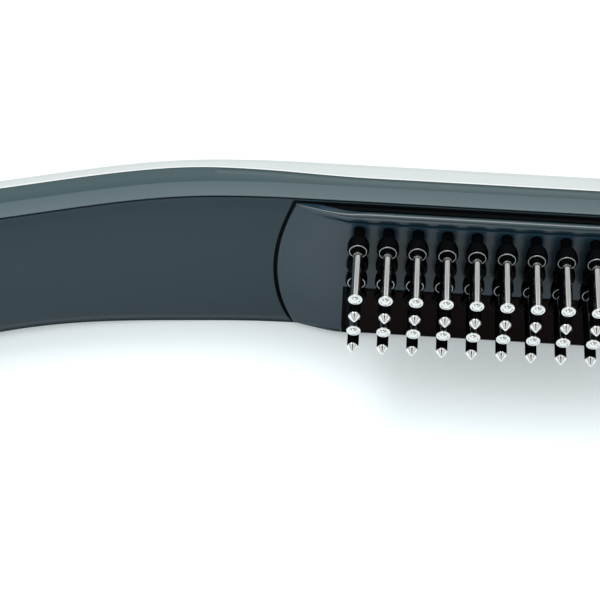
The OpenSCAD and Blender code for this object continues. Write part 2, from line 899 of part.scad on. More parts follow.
// A black pin is moulded in one piece with its bell
module pins(r) {
    color([0.02, 0.02, 0.02]) at_origin()
    for (k = [0 : tooth_count - 1])
        turned(tooth_x(k), row_w(r), -face_n) polygon(concat([[0, -tooth_foot]], bell_flank, [
            [pin_r + 0.3, bell_mouth],
            [pin_r, bell_mouth + sleeve_l],
            [pin_r, tooth_len],
            [0, tooth_len]
        ]));
}

module pins_row_2() {
    pins(1);
}

module pins_row_4() {
    pins(3);
}

module tips(r) {
    color("silver") at_origin()
    for (k = [0 : tooth_count - 1])
        turned(tooth_x(k), row_w(r), -face_n - tooth_len) polygon([
            [0, 0],
            [pin_r + 0.04, 0],
            [pin_r + 0.04, 0.15],
            [0.15, cone_h],
            [0, cone_h]
        ]);
}

module tips_row_2() {
    tips(1);
}

module tips_row_4() {
    tips(3);
}

back_cover();
trim_band();
middle_frame();
front_shell();
head_tray();
case_screws();
battery_tray();
battery_cells();
battery_springs();
battery_plates();
battery_cover();
cell_pad();
main_board();
board_screws();
board_chips();
switch_housings();
power_button();
power_plunger();
mode_button();
mode_plunger();
status_light_pipe();
status_led();
motor_can();
motor_cradle();
motor_shaft();
eccentric_weight();
contact_pins();
contact_block();
body_magnets();
lead_wires();
head_cover();
laser_window();
tooth_block();
head_board();
laser_diodes();
laser_lenses();
head_magnets();
collars_row_1();
collars_row_3();
collar_rings_row_1();
collar_rings_row_3();
rods_row_1();
rods_row_3();
pins_row_2();
pins_row_4();
tips_row_2();
tips_row_4();
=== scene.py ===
# An arched comb with a lift-off head, four rows of teeth and a laser window, lying on its long side.
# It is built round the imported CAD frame. Blender works in metres, and the sizes below are millimetres.
import math

import bmesh
import bpy
from mathutils import Matrix, Vector


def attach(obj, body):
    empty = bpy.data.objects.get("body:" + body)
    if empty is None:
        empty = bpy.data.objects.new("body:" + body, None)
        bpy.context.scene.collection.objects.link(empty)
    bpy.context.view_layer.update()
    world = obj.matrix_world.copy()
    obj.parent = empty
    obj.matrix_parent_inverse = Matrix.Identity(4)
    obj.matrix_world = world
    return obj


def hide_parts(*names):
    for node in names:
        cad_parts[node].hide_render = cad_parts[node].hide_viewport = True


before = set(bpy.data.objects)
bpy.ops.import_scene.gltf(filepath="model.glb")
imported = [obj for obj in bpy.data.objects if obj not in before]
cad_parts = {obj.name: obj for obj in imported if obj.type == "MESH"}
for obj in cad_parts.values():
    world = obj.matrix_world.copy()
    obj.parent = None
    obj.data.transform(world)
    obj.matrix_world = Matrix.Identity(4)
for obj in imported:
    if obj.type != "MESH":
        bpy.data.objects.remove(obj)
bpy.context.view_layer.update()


# Camera: the photograph was taken from above and in front, with a long lens.
# The comb is longer than the picture, so both of its ends are cut off.
EYE = Vector((0.02008, -0.26076, 0.30527))
TILT, YAW, ROLL = math.radians(48.07), math.radians(-2.50), math.radians(1.46)
FOCAL_LENGTH, SENSOR_W = 120, 36

ahead = Vector((math.sin(YAW) * math.cos(TILT), math.cos(YAW) * math.cos(TILT), -math.sin(TILT)))
right = Vector((math.cos(YAW), -math.sin(YAW), 0))
level_up = right.cross(ahead)
across = math.cos(ROLL) * right + math.sin(ROLL) * level_up
upward = math.cos(ROLL) * level_up - math.sin(ROLL) * right
lens = bpy.data.cameras.new("photo_camera")
lens.lens, lens.sensor_width = FOCAL_LENGTH, SENSOR_W
lens.clip_start, lens.clip_end = 0.01, 20
camera = bpy.data.objects.new("photo_camera", lens)
camera.matrix_world = Matrix((across, upward, -ahead)).transposed().to_4x4()
camera.location = EYE
bpy.context.scene.collection.objects.link(camera)
bpy.context.scene.camera = camera
bpy.context.scene.view_settings.view_transform = "Standard"


# Light: a large soft panel overhead brightens the upper side, and a weaker one stands in front.
# To the camera and in reflections the room is white, with a grey band at the height of its walls
# and a small dark patch where the photographer stands, which the bright metal shows.
def soft_panel(name, place, aim, size, power):
    """A rectangular lamp that shines at a point."""
    light = bpy.data.lights.new(name, "AREA")
    light.shape = "RECTANGLE"
    light.size, light.size_y = size
    light.energy = power
    lamp = bpy.data.objects.new(name, light)
    lamp.location = place
    lamp.rotation_mode = "QUATERNION"
    lamp.rotation_quaternion = (Vector(aim) - Vector(place)).to_track_quat("-Z", "Y")
    bpy.context.scene.collection.objects.link(lamp)


soft_panel("overhead_panel", (-0.05, 0.17, 0.62), (0, 0, 0.02), (0.6, 0.26), 2.2)
soft_panel("front_panel", (-0.15, -0.75, 0.45), (0, 0, 0.02), (0.5, 0.4), 0.9)


def feed(tree, node, inputs):
    """Sets a node's inputs, each to a plain value or to another node's output."""
    for key, value in inputs.items():
        if isinstance(value, bpy.types.NodeSocket):
            tree.links.new(value, node.inputs[key])
        else:
            node.inputs[key].default_value = value


def new_node(tree, kind, inputs=None, **settings):
    """A new node with its settings and its inputs."""
    node = tree.nodes.new(kind)
    for name, value in settings.items():
        setattr(node, name, value)
    feed(tree, node, inputs or {})
    return node


def reckon(tree, operation, first, second, clamp=False):
    """The result of a Math node on two values."""
    step = new_node(tree, "ShaderNodeMath", {0: first, 1: second}, operation=operation, use_clamp=clamp)
    return step.outputs[0]


def ranged(tree, value, low, high, to_low=0.0, to_high=1.0, kind="LINEAR"):
    """A value of one range brought onto another range."""
    inputs = {"Value": value, "From Min": low, "From Max": high, "To Min": to_low, "To Max": to_high}
    return new_node(tree, "ShaderNodeMapRange", inputs, interpolation_type=kind).outputs["Result"]


def seen_rays(tree):
    """1 for the rays that show the background: from the camera, in reflections and through glass."""
    path = new_node(tree, "ShaderNodeLightPath")
    seen = path.outputs["Is Camera Ray"]
    for ray in ("Is Glossy Ray", "Is Transmission Ray"):
        seen = reckon(tree, "ADD", seen, path.outputs[ray], clamp=True)
    return seen


room = bpy.data.worlds.new("pale_room")
bpy.context.scene.world = room
room.use_nodes = True
tree = room.node_tree
tree.nodes.clear()
PHOTOGRAPHER = (-0.03, -0.67, 0.742)
place = new_node(tree, "ShaderNodeTexCoord").outputs["Generated"]
height = new_node(tree, "ShaderNodeSeparateXYZ", {0: place}).outputs["Z"]
facing = new_node(tree, "ShaderNodeVectorMath", {0: place, 1: PHOTOGRAPHER}, operation="DOT_PRODUCT")
upper_glow = ranged(tree, height, 0.1, 0.72, 0.14, 1.02, "SMOOTHSTEP")
front_glow = ranged(tree, facing.outputs["Value"], 0.0, 0.9, 0.0, 0.5, "SMOOTHSTEP")
dark_patch = ranged(tree, facing.outputs["Value"], 0.955, 0.977, 1.0, 0.02, "SMOOTHSTEP")
sky = reckon(tree, "MULTIPLY", reckon(tree, "ADD", upper_glow, front_glow), dark_patch)
lit = new_node(tree, "ShaderNodeBackground", {"Color": (0.93, 0.98, 1.0, 1), "Strength": sky})
walls = new_node(tree, "ShaderNodeValToRGB", {"Fac": height})
walls.color_ramp.interpolation = "EASE"
for spot, shade in ((0.34, 0.5), (0.40, 0.5), (0.72, 1.0)):
    walls.color_ramp.elements.new(spot).color = (shade, shade, shade, 1)
walls.color_ramp.elements[0].position = 0.22
walls.color_ramp.elements[0].color = (1, 1, 1, 1)
walls.color_ramp.elements[-1].color = (1, 1, 1, 1)
patched = reckon(tree, "MULTIPLY", walls.outputs["Color"], dark_patch)
white = new_node(tree, "ShaderNodeBackground", {"Color": (1, 1, 1, 1), "Strength": patched})
mix = new_node(tree, "ShaderNodeMixShader", {"Fac": seen_rays(tree), 1: lit.outputs[0], 2: white.outputs[0]})
new_node(tree, "ShaderNodeOutputWorld", {0: mix.outputs[0]})


# Floor: a wide pale sheet that the comb lies on.
# It keeps the comb's shadow and looks almost white to the camera.
def plain_mesh(name, points, faces, finish):
    """A piece from points in metres and faces, at the origin, with one finish."""
    mesh = bpy.data.meshes.new(name)
    mesh.from_pydata([tuple(p) for p in points], [], faces)
    mesh.materials.append(finish)
    piece = bpy.data.objects.new(name, mesh)
    bpy.context.scene.collection.objects.link(piece)
    return piece


def new_finish(name):
    """A new material, with its node tree and its shader."""
    finish = bpy.data.materials.new(name)
    finish.use_nodes = True
    return finish, finish.node_tree, finish.node_tree.nodes["Principled BSDF"]


FLOOR_REACH, FLOOR_Z = 3, -0.0001
floor_finish, tree, base = new_finish("floor_sheet")
feed(tree, base, {"Base Color": (0.80, 0.84, 0.85, 1), "Roughness": 0.7, "Specular IOR Level": 0.2})
glow = new_node(tree, "ShaderNodeEmission", {"Color": (0.93, 0.99, 1.0, 1), "Strength": 0.28})
both = new_node(tree, "ShaderNodeAddShader", {0: base.outputs[0], 1: glow.outputs[0]})
pick = new_node(tree, "ShaderNodeMixShader", {"Fac": seen_rays(tree), 1: base.outputs[0], 2: both.outputs[0]})
feed(tree, tree.nodes["Material Output"], {"Surface": pick.outputs[0]})
corners = [(x * FLOOR_REACH, y * FLOOR_REACH, FLOOR_Z) for x, y in ((-1, -1), (1, -1), (1, 1), (-1, 1))]
floor = plain_mesh("floor_sheet", corners, [(0, 1, 2, 3)], floor_finish)


# Back cover: a moulded shell of pearl silver plastic that wraps the whole back.
# It is drawn as rings that run round the comb's outline, from the crown over the edge to the inside.
# A point is given by its length u along the comb, its depth n behind the seam and its width w.
BODY_W, WAIST_CUT = 36.0, 3.8
HEAD_LEN, HANDLE_LEN, ARCH_R = 96.0, 112.0, 199.0
TAIL_R, TIP_R = 14.0, 10.0
NECK_LEN, TAIL_LEN = 15.0, 16.0
STRIP_D, BEVEL_D, BEVEL_IN, TRIM_D = 3.8, 4.4, 2.0, 0.45
COVER_SIDE, LINE_SHIFT, COVER_ROUND, CROWN_N, SHELL_T = 2.5, 1.5, 2.0, 16.5, 1.4
PANEL_BULGE, PANEL_LIP, LIP_IN = 1.5, 0.25, 0.4
KEY_PROUD, KEY_R, KEY_EDGE, KEY_PITCH = 0.7, 4.6, 0.8, 17.0
BOARD_S, CELL_S = 22.0, 71.0
EDGE_TURN, RIM_TURN = 80, 40
HALF_W = BODY_W / 2
FRAME_N = STRIP_D + BEVEL_D
COVER_N = FRAME_N + TRIM_D
OFF_MID = 13.0
OFF_EDGE = BEVEL_IN + COVER_ROUND * (1 - math.cos(math.radians(EDGE_TURN)))
EDGE_N = COVER_N + COVER_SIDE + COVER_ROUND * math.sin(math.radians(EDGE_TURN))
KEY_S = (BOARD_S - KEY_PITCH / 2, BOARD_S + KEY_PITCH / 2)


def panel_at(inset):
    """Depth of the front panel: almost flush at the seam, fullest in the middle."""
    return -PANEL_LIP - (PANEL_BULGE - PANEL_LIP) * (1 - (1 - min(inset, OFF_MID) / OFF_MID) ** 2.2)


# The origin lies midway between the comb's ends and between its lowest and highest points.
rim_round = COVER_ROUND * (1 - math.cos(math.radians(RIM_TURN)))
rim_n = COVER_N + COVER_SIDE + COVER_ROUND * math.sin(math.radians(RIM_TURN))
key_turn = KEY_S[0] / ARCH_R
tail_x = -(ARCH_R + rim_n) * math.sin((HANDLE_LEN - BEVEL_IN - rim_round) / ARCH_R)
low_y = (ARCH_R + panel_at(LIP_IN)) * math.cos((HANDLE_LEN - LIP_IN) / ARCH_R) - ARCH_R
key_top = ARCH_R + CROWN_N + KEY_PROUD
high_y = key_top * math.cos(key_turn) - ARCH_R + (KEY_R - KEY_EDGE) * math.sin(key_turn)
MID_X, MID_Y = (HEAD_LEN + tail_x) / 2, (high_y + low_y) / 2


def placed(x, n, w):
    """A point of the straight head in metres: x along it, n behind the seam, w across."""
    return Vector((x - MID_X, n - MID_Y, w + HALF_W)) / 1000


def bent(u, n, w):
    """A point at length u along the comb: the handle, where u is negative, follows the arch."""
    if u >= 0:
        return placed(u, n, w)
    turn = -u / ARCH_R
    return placed(-(ARCH_R + n) * math.sin(turn), (ARCH_R + n) * math.cos(turn) - ARCH_R, w)


def on_arch(s, x, n, w):
    """A point beside the place at length s on the handle, measured on the arch's own axes there."""
    turn, far = s / ARCH_R, ARCH_R + n
    along = x * math.cos(turn) - far * math.sin(turn)
    behind = x * math.sin(turn) + far * math.cos(turn) - ARCH_R
    return placed(along, behind, w)


def waist_at(u):
    """How far each side pulls in, most in the middle of the handle."""
    if u >= -NECK_LEN or u <= TAIL_LEN - HANDLE_LEN:
        return 0
    share = (-NECK_LEN - u) / (HANDLE_LEN - NECK_LEN - TAIL_LEN)
    return WAIST_CUT / 4 * (1 - math.cos(2 * math.pi * share))


def line_shift_at(u):
    """How far the trim line steps back from the head to the handle."""
    t = min(1, max(0, (NECK_LEN - u) / (2.6 * NECK_LEN)))
    return LINE_SHIFT * t * t * (3 - 2 * t)


CORNER_STEPS, SIDE_STEPS, HEAD_STEPS = 16, 54, 24
LEAST_ROUND, TIP_ROOM = 0.2, 5


def side_line(inset):
    """One side of the outline from tail to tip, as length and width."""
    bows = []
    for end, radius, way in ((-HANDLE_LEN, TAIL_R, 1), (HEAD_LEN, TIP_R, -1)):
        reach = max(radius, inset + LEAST_ROUND)
        bow = []
        for k in range(CORNER_STEPS + 1):
            a = math.pi / 2 * k / CORNER_STEPS
            u = end + way * (reach - (reach - inset) * math.sin(a))
            bow.append((u, HALF_W - reach + (reach - inset) * math.cos(a)))
        bows.append(bow)
    start, stop = TAIL_LEN - HANDLE_LEN, NECK_LEN
    along = [start + (stop - start) * k / SIDE_STEPS for k in range(SIDE_STEPS + 1)]
    along += [stop + (HEAD_LEN - TIP_R - TIP_ROOM - stop) * k / HEAD_STEPS for k in range(1, HEAD_STEPS + 1)]
    return bows[0][::-1] + [(u, HALF_W - waist_at(u) - inset) for u in along] + bows[1]


def outline_ring(inset, n, share=0):
    """A ring round the whole outline; share is how much of the trim line's step it follows."""
    side = side_line(inset)
    ring = [bent(u, n + share * line_shift_at(u), w) for u, w in side]
    return ring + [bent(u, n + share * line_shift_at(u), -w) for u, w in reversed(side)]


def tidy_surface(piece, sharp=30):
    """Turns all faces outwards and keeps edges sharp past an angle in degrees."""
    shape = bmesh.new()
    shape.from_mesh(piece.data)
    bmesh.ops.remove_doubles(shape, verts=shape.verts, dist=1e-7)
    bmesh.ops.recalc_face_normals(shape, faces=shape.faces)
    shape.to_mesh(piece.data)
    shape.free()
    piece.data.polygons.foreach_set("use_smooth", [True] * len(piece.data.polygons))
    piece.data.set_sharp_from_angle(angle=math.radians(sharp))
    return piece


def loft(name, loops, finish, ends, second=()):
    """A skin through loops of points, whose ends are open, joined, caps or strips from side to side.

    The bands listed as second take the piece's second finish.
    """
    count, last = len(loops[0]), len(loops) - 1
    faces = []
    pairs = [(i, i + 1) for i in range(last)]
    if ends == "joined":
        pairs.append((last, 0))
    for a, b in pairs:
        for j in range(count):
            k = (j + 1) % count
            faces.append((a * count + j, a * count + k, b * count + k, b * count + j))
    top = last * count
    if ends == "caps":
        faces += [tuple(range(count)), tuple(range(top + count - 1, top - 1, -1))]
    if ends == "strips":
        for row, way in ((0, 1), (top, -1)):
            for j in range(count // 2 - 1):
                quad = (row + j, row + count - 1 - j, row + count - 2 - j, row + j + 1)
                faces.append(quad[::way])
    piece = plain_mesh(name, [p for loop in loops for p in loop], faces, finish)
    for i in second:
        for j in range(count):
            piece.data.polygons[i * count + j].material_index = 1
    return tidy_surface(piece)


def ring_shell(name, rings, finish, ends="strips", second=()):
    """A shell from rings round the comb, each an inset, a depth and a share of the line's step."""
    return loft(name, [outline_ring(*ring) for ring in rings], finish, ends, second)


def crown_at(inset):
    """Depth of the back cover's crown, highest along the middle."""
    return CROWN_N - (CROWN_N - EDGE_N) * ((OFF_MID - inset) / (OFF_MID - OFF_EDGE)) ** 2


EDGE_STEPS, LOW_EDGE = 8, 0.12
cover_rings = [(inset, crown_at(inset)) for inset in (OFF_MID, 11.5, 10, 8.5, 7, 5.8, 4.8, 4.1)]
for k in range(EDGE_STEPS + 1):
    a = math.radians(EDGE_TURN * (1 - k / EDGE_STEPS))
    inset = BEVEL_IN + COVER_ROUND * (1 - math.cos(a))
    cover_rings.append((inset, COVER_N + COVER_SIDE + COVER_ROUND * math.sin(a)))
cover_rings += [(BEVEL_IN, COVER_N + LOW_EDGE, 1), (BEVEL_IN + LOW_EDGE, COVER_N, 1)]
cover_rings += [(BEVEL_IN + SHELL_T, COVER_N, 1), (BEVEL_IN + SHELL_T, COVER_N + COVER_SIDE)]
cover_rings += [(OFF_EDGE + SHELL_T, EDGE_N - SHELL_T)]
cover_rings += [(inset, crown_at(inset) - SHELL_T) for inset in (7, 9, 11)] + [(OFF_MID, CROWN_N - SHELL_T)]


def new_group(name, kind, takes, gives):
    """A node group with its input and output nodes: takes are its inputs, gives its outputs."""
    group = bpy.data.node_groups.new(name, kind)
    for label, sort, value in takes:
        socket = group.interface.new_socket(name=label, in_out="INPUT", socket_type="NodeSocket" + sort)
        if value is not None:
            socket.default_value = value
    for label, sort in gives:
        group.interface.new_socket(name=label, in_out="OUTPUT", socket_type="NodeSocket" + sort)
    return group, new_node(group, "NodeGroupInput").outputs, new_node(group, "NodeGroupOutput")


def moulding_grain():
    """Fine spark-eroded grain and slow colour drift of a moulded plastic face."""
    takes = (
        ("Tone", "Color", (0.5, 0.5, 0.5, 1)),
        ("Drift", "Float", 0.06),
        ("Grain Size", "Float", 3000),
        ("Roughness", "Float", 0.4),
        ("Grain Depth", "Float", 0.15),
    )
    gives = (("Colour", "Color"), ("Roughness", "Float"), ("Normal", "Vector"))
    group, take, give = new_group("moulding_grain", "ShaderNodeTree", takes, gives)
    place = new_node(group, "ShaderNodeTexCoord").outputs["Object"]
    slow = new_node(group, "ShaderNodeTexNoise", {"Vector": place, "Scale": 45, "Detail": 3})
    fine = new_node(group, "ShaderNodeTexNoise", {"Vector": place, "Scale": take["Grain Size"], "Detail": 2})
    both = reckon(group, "ADD", slow.outputs["Fac"], fine.outputs["Fac"])
    swing = reckon(group, "MULTIPLY", reckon(group, "SUBTRACT", both, 1.0), take["Drift"])
    level = reckon(group, "ADD", swing, 1.0)
    tint = new_node(group, "ShaderNodeVectorMath", {0: take["Tone"], "Scale": level}, operation="SCALE")
    relief = {"Distance": 0.00004, "Strength": take["Grain Depth"], "Height": fine.outputs["Fac"]}
    bump = new_node(group, "ShaderNodeBump", relief)
    rough = reckon(group, "MULTIPLY", take["Roughness"], level)
    feed(group, give, {"Colour": tint.outputs[0], "Roughness": rough, "Normal": bump.outputs[0]})
    return group


def grained(name, group, values, plain):
    """A finish whose colour, roughness and relief come from a group; plain are the shader's own values."""
    finish, tree, base = new_finish(name)
    grain = new_node(tree, "ShaderNodeGroup", values, node_tree=group).outputs
    feed(tree, base, {"Base Color": grain["Colour"], "Roughness": grain["Roughness"]})
    feed(tree, base, {"Normal": grain["Normal"], **plain})
    return finish


grain_group = moulding_grain()


def moulded(name, tone, rough, size=3000, depth=0.15, drift=0.06, coat=0.0, level=0.5, metal=0.0, clear=0.0):
    """A moulded finish: grain size, depth and drift, clear coat, gloss level, metal share, clearness."""
    values = {"Tone": (*tone, 1), "Drift": drift, "Grain Size": size}
    values.update({"Roughness": rough, "Grain Depth": depth})
    plain = {"Coat Weight": coat, "Coat Roughness": 0.08, "Specular IOR Level": level}
    plain.update({"Metallic": metal, "Transmission Weight": clear})
    return grained(name, grain_group, values, plain)


pearl = moulded(
    "pearl_silver", (0.50, 0.53, 0.525), 0.34, size=5200, depth=0.06, drift=0.05, coat=0.35, metal=0.25
)
back_cover = ring_shell("back_cover_shell", cover_rings, pearl)


def round_plan(radius, steps):
    """A circle, as points beside its middle."""
    turns = [2 * math.pi * k / steps for k in range(steps)]
    return [(radius * math.cos(a), radius * math.sin(a)) for a in turns]


def rounded_plan(length, width, corner, steps=6):
    """A rectangle with rounded corners, as points beside its middle."""
    plan = []
    for sx, sw, first in ((1, 1, 0), (-1, 1, 1), (-1, -1, 2), (1, -1, 3)):
        for k in range(steps + 1):
            a = math.pi / 2 * (first + k / steps)
            x = sx * (length / 2 - corner) + corner * math.cos(a)
            plan.append((x, sw * (width / 2 - corner) + corner * math.sin(a)))
    return plan


def bake_modifiers(piece):
    """Puts the result of a piece's modifiers into its own mesh."""
    graph = bpy.context.evaluated_depsgraph_get()
    mesh = bpy.data.meshes.new_from_object(piece.evaluated_get(graph))
    piece.modifiers.clear()
    piece.data = mesh
    mesh.polygons.foreach_set("use_smooth", [True] * len(mesh.polygons))
    mesh.set_sharp_from_angle(angle=math.radians(30))


def cut(piece, tool, way="DIFFERENCE"):
    """Cuts the tool's shape out of the piece, or keeps only what lies inside it."""
    step = piece.modifiers.new("cut", "BOOLEAN")
    step.operation, step.solver, step.object = way, "EXACT", tool
    bake_modifiers(piece)
    bpy.data.objects.remove(tool)


BACK_CUT_NS = (8, 20)


def cut_back(piece, name, s, plan, way="DIFFERENCE"):
    """Cuts a plan straight through the back at length s on the handle."""
    loops = [[on_arch(s, x, n, w) for x, w in plan] for n in BACK_CUT_NS]
    cut(piece, loft(name, loops, pearl, "caps"), way)


CELL_R, CELL_L, CONTACT_ROOM, CELL_GAP = 5.25, 44.5, 3.6, 0.5
HATCH_L = CELL_L + CONTACT_ROOM + 3
HATCH_W = 2 * (2 * CELL_R + CELL_GAP / 2) + 1
KEY_GAP, LIGHT_R = 0.25, 1.25
cut_back(back_cover, "hatch_opening", CELL_S, rounded_plan(HATCH_L, HATCH_W, 1.2))
for s in KEY_S:
    cut_back(back_cover, "key_opening", s, round_plan(KEY_R + KEY_GAP, 64))
cut_back(back_cover, "light_opening", BOARD_S, round_plan(LIGHT_R, 32))
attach(back_cover, "body")
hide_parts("back_cover")


# Battery cover: a panel of the same pearl plastic that lifts off over the two cells.
# It is cut from the back cover's own curve, so it lies flush with it.
HATCH_GAP = 0.25
battery_cover = ring_shell("battery_cover_panel", cover_rings, pearl)
hatch_plan = rounded_plan(HATCH_L - 2 * HATCH_GAP, HATCH_W - 2 * HATCH_GAP, 1.0)
cut_back(battery_cover, "hatch_panel", CELL_S, hatch_plan, "INTERSECT")
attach(battery_cover, "battery_lid")
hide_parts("battery_cover")


# Trim band: a thin bright metallic line that is held between the back cover and the frame.
# It is a plated plastic strip, laid in as one closed ring.
TRIM_PROUD, TRIM_GAP = 0.1, 0.02
trim_finish = moulded("bright_trim", (0.86, 0.88, 0.88), 0.2, size=2600, depth=0.04, drift=0.08, metal=0.9)
trim_rings = [
    (BEVEL_IN - TRIM_PROUD, FRAME_N + TRIM_GAP, 1),
    (BEVEL_IN - TRIM_PROUD, COVER_N - TRIM_GAP, 1),
    (BEVEL_IN + SHELL_T, COVER_N, 1),
    (BEVEL_IN + SHELL_T, FRAME_N, 1),
]
trim_band = ring_shell("trim_band_line", trim_rings, trim_finish, "joined")
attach(trim_band, "body")
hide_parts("trim_band")


# Middle frame: the dark ring between the covers, with a flat strip and a bevel behind it.
# It is moulded in blue-grey plastic: the strip has a satin gloss, and the bevel has a darker, duller copy of
# the same plastic, which is painted shade.
frame_finish = moulded("blue_grey_satin", (0.044, 0.076, 0.086), 0.30, size=4200, depth=0.05, coat=0.3)
# The bevel's finish: the frame's plastic made darker and duller, as painted shade.
bevel_painted_shade = moulded("blue_grey_bevel_painted_shade", (0.030, 0.058, 0.064), 0.34, size=4200, depth=0.06, level=0.12)
FRAME_T = 1.8
SEAM_LIP, SEAM_IN, SEAM_DEEP = 0.14, 0.6, 0.8
frame_rings = [
    (SEAM_IN, 0),
    (SEAM_IN, SEAM_DEEP),
    (SEAM_LIP, SEAM_DEEP),
    (SEAM_LIP, 0.03),
    (SEAM_LIP - 0.03, 0),
    (0.05, 0.01),
    (0.01, 0.05),
    (0, 0.12),
    (0, 1.9),
    (0, STRIP_D - 0.14),
    (0.03, STRIP_D + 0.02),
    (BEVEL_IN * 0.5, STRIP_D + BEVEL_D * 0.5, 0.5),
    (BEVEL_IN - 0.03, FRAME_N - 0.06, 1),
    (BEVEL_IN + 0.04, FRAME_N, 1),
    (BEVEL_IN + SHELL_T, FRAME_N, 1),
    (FRAME_T, STRIP_D + 0.6),
    (FRAME_T, 0),
]
# The bevel's bands take that painted-shade finish as the piece's second finish.
SHADED_BEVEL_BANDS = (10, 11)
middle_frame = ring_shell("middle_frame_ring", frame_rings, frame_finish, "joined", SHADED_BEVEL_BANDS)
middle_frame.data.materials.append(bevel_painted_shade)
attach(middle_frame, "body")
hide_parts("middle_frame")


# Front shell: the handle's panel, which runs on as a thin rim round the head.
# Matt blue-grey plastic, moulded with a recess for the head and posts for the board.
HEAD_GAP, END_GAP, HEAD_BOW, RIM_W, TIP_MARGIN = 0.4, 0.75, 3.5, 0.7, 6.5
HEAD_H = BODY_W - 2 * (RIM_W + HEAD_GAP)
HEAD_COVER_L = HEAD_LEN - TIP_MARGIN + HEAD_BOW
HEAD_MID = HEAD_COVER_L / 2 - HEAD_BOW
BOW_R = ((HEAD_H / 2) ** 2 + HEAD_BOW**2) / (2 * HEAD_BOW)


def head_loop(grow, end_steps=24, side_steps=60):
    """The head's outline grown by some amount, as (x, w): two straight sides and two bowed ends."""
    half, radius = HEAD_H / 2 + grow, BOW_R + grow
    sweep = math.asin(half / radius)
    low_centre, high_centre = BOW_R - HEAD_BOW, 2 * HEAD_MID + HEAD_BOW - BOW_R
    plan = []
    for centre, turn in ((high_centre, 1), (low_centre, -1)):
        for k in range(end_steps + 1):
            a = -sweep + 2 * sweep * k / end_steps
            plan.append((centre + turn * radius * math.cos(a), turn * radius * math.sin(a)))
        first = plan[-1][0]
        last = low_centre - radius * math.cos(sweep) if turn == 1 else plan[0][0]
        plan += [(first + (last - first) * k / side_steps, turn * half) for k in range(1, side_steps)]
    return plan


RIM_IN, EASE_W, SEAM_STEP, RECESS_NS = 0.52, 2.1, 0.05, (-4, 2)


def soft_panel_at(inset):
    """The panel with its edge eased back to lie flush behind the seam."""
    t = min(1, max(0, (inset - RIM_IN) / EASE_W))
    return -SEAM_STEP + (panel_at(inset) + SEAM_STEP) * t * t * (3 - 2 * t)


panel_finish = moulded(
    "blue_grey_matt", (0.018, 0.034, 0.043), 0.46, size=3400, depth=0.16, drift=0.09, level=0.2
)
front_insets = (OFF_MID, 11.6, 10, 8.4, 6.8, 5.2, 3.8, 2.9, 2.3, 1.8, 1.4, 1.05, 0.8, 0.64)
front_rings = [(inset, soft_panel_at(inset)) for inset in front_insets]
front_rings += [(0.56, -0.03), (RIM_IN, 0.01), (RIM_IN, 0.3), (FRAME_T, 0.3), (OFF_MID, 0)]
front_shell = ring_shell("front_shell_panel", front_rings, panel_finish)
stretch = END_GAP - HEAD_GAP
recess = [(x + (stretch if x > HEAD_MID else -stretch), w) for x, w in head_loop(HEAD_GAP)]
recess_loops = [[placed(x, n, w) for x, w in recess] for n in RECESS_NS]
cut(front_shell, loft("head_recess", recess_loops, panel_finish, "caps"))
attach(front_shell, "body")
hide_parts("front_shell")


# Head cover: the separate face piece that carries the teeth, clipped in with the whole head.
# Its edge is a polished bead with a fine groove inside it, and its ends ramp down to the handle.
FACE_N, RAMP_L, BEAD_R, BEAD_RAMP, COVER_WALL, SKIN_N = 3.6, 13.0, 1.1, 15.0, 1.0, 0.3
SIDE_H, BEAD_BACK, RAMP_EASE = 2.4, 1.45, 2
BEAD_STEPS, POLISHED_BANDS, END_ROUND = 12, 10, 0.25
FIRST_X, LAST_X = -HEAD_BOW, HEAD_COVER_L - HEAD_BOW
BEAD_ENDS = (0, 2 * HEAD_MID)


def ramp_share(x, reach, ends=(FIRST_X, LAST_X)):
    """How far the ramp has risen at x, from 0 at the ends of the head to 1 after reach."""
    t = min(1, max(0, min(x - ends[0], ends[1] - x) / reach))
    return t * t * (3 - 2 * t)


def face_at(x, w, lift=0.0):
    """Depth of the face: it follows the handle's panel at the ends and is flat between the ramps."""
    low = panel_at(HALF_W - abs(w))
    return lift + low + (-FACE_N - low) * ramp_share(x, RAMP_L + RAMP_EASE)


def cover_loop(side_step, end_step, foot=False):
    """A loop round the cover: its inset and lift change from the ends to the long sides."""
    loop = []
    for side, end in zip(head_loop(-side_step[0], 30, 150), head_loop(-end_step[0], 30, 150)):
        grown = ramp_share(end[0], BEAD_RAMP, BEAD_ENDS)
        x, w = (end[i] + (side[i] - end[i]) * grown for i in (0, 1))
        lift = end_step[1] + (side_step[1] - end_step[1]) * grown
        depth = face_at(x, w) + SIDE_H if foot else face_at(x, w, lift)
        loop.append(placed(x, min(-SKIN_N, depth), w))
    return loop


def outer_loops():
    """Loops from the cover's foot over its bead and its groove to the middle of the face."""
    side_steps, end_steps = [], []
    for k in range(BEAD_STEPS + 1):
        a = math.radians(-60 + 162 * k / BEAD_STEPS)
        side_steps.append((BEAD_R * (1 - math.cos(a)), BEAD_BACK - BEAD_R * math.sin(a)))
        b = math.radians(max(0, 90 * (k - 4) / 8))
        lift = END_ROUND * (1 - math.sin(b)) + 0.05 * max(0, 4 - k)
        end_steps.append((END_ROUND * (1 - math.cos(b)), lift))
    side_steps += [(1.38, 0.85), (1.64, 0.85), (1.70, 0.06), (1.85, 0), (2.5, 0)]
    end_steps += [(0.5, 0), (0.8, 0), (1.1, 0), (1.4, 0), (1.9, 0)]
    loops = [cover_loop((COVER_WALL, 0), (COVER_WALL, 0), foot=True)]
    loops += [cover_loop((0.55, 0), (0, 0), foot=True)]
    loops += [cover_loop(side, end) for side, end in zip(side_steps, end_steps)]
    loops += [cover_loop((inset, 0), (inset, 0)) for inset in (3.2, 4.4, 6, 8, 10, 12, 14, 15.6, HEAD_H / 2)]
    return loops


TOOTH_COUNT, TOOTH_PITCH, ROW_PITCH, ROW_EDGE, PIN_R, PIN_GAP = 12, 5.6, 4.36, 3.2, 1.1, 0.05
FIRST_TOOTH = HEAD_MID - TOOTH_PITCH * (TOOTH_COUNT - 1) / 2
FACE_CUT_NS = (-6, 1)


